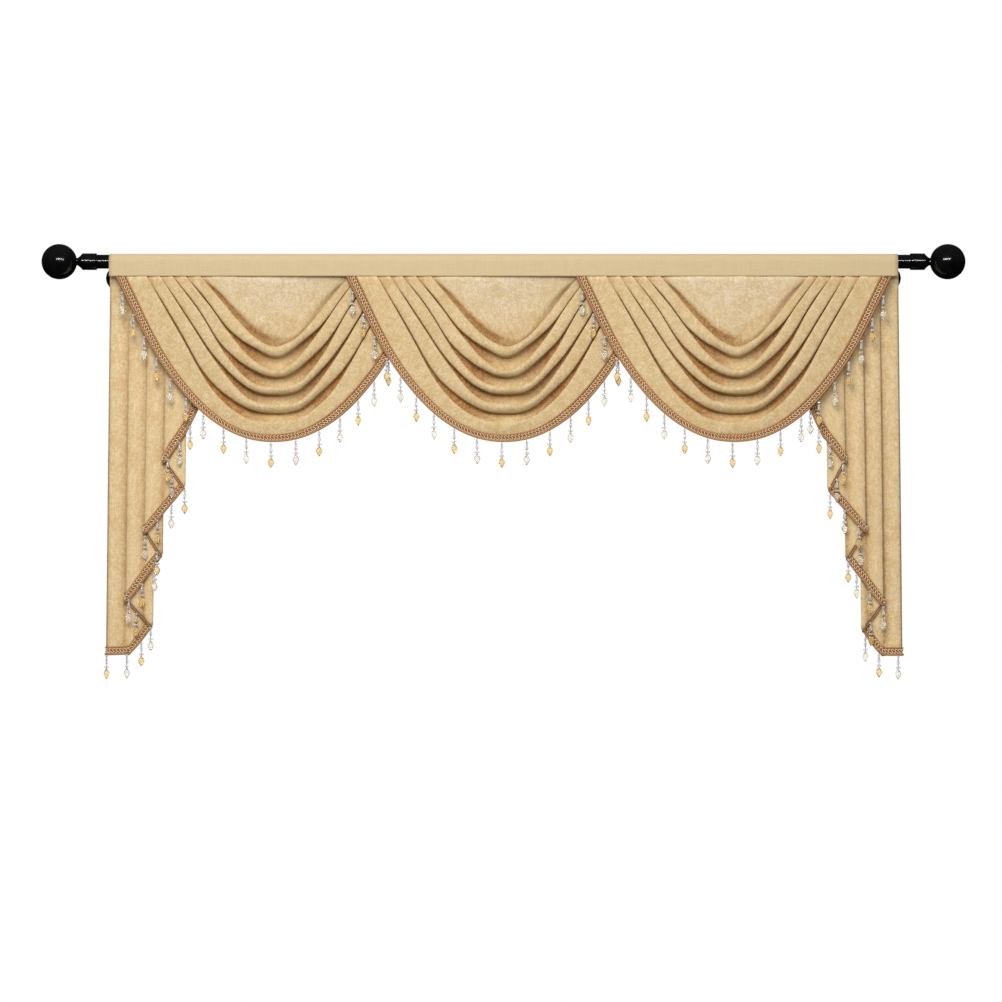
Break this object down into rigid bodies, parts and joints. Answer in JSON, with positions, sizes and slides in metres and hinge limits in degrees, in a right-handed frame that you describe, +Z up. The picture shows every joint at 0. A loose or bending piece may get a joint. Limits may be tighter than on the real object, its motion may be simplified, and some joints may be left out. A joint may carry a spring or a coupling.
{
  "type": "swag window valance on a curtain rod",
  "caption": "Overlapping pleated swags and folded side tails with bead-tasselled braid, hanging from a rod with ball finials on wall brackets.",
  "frame": {"origin": "on the wall plane, midway between the wall plates and level with their centres", "axes": "+X along the rod, -Y from the wall into the room, +Z up"},
  "size_m": [1.752, 0.1279, 0.8306],
  "materials": {
    "black_metal": "satin black",
    "jacquard": "beige and gold jacquard weave",
    "braid": "copper cord with cream loops",
    "amber_bead": "faceted amber drop",
    "clear_bead": "faceted clear drop"
  },
  "bodies": {
    "root": {"rod": "black_metal", "finial_left": "black_metal", "finial_right": "black_metal", "bracket_left": "black_metal", "bracket_right": "black_metal", "heading": "jacquard", "swag_left": "jacquard", "swag_middle": "jacquard", "swag_right": "jacquard", "jabot_left": "jacquard", "jabot_right": "jacquard", "swag_left_braid": "braid", "swag_middle_braid": "braid", "swag_right_braid": "braid", "jabot_left_braid": "braid", "jabot_right_braid": "braid"}
  },
  "joints": []
}
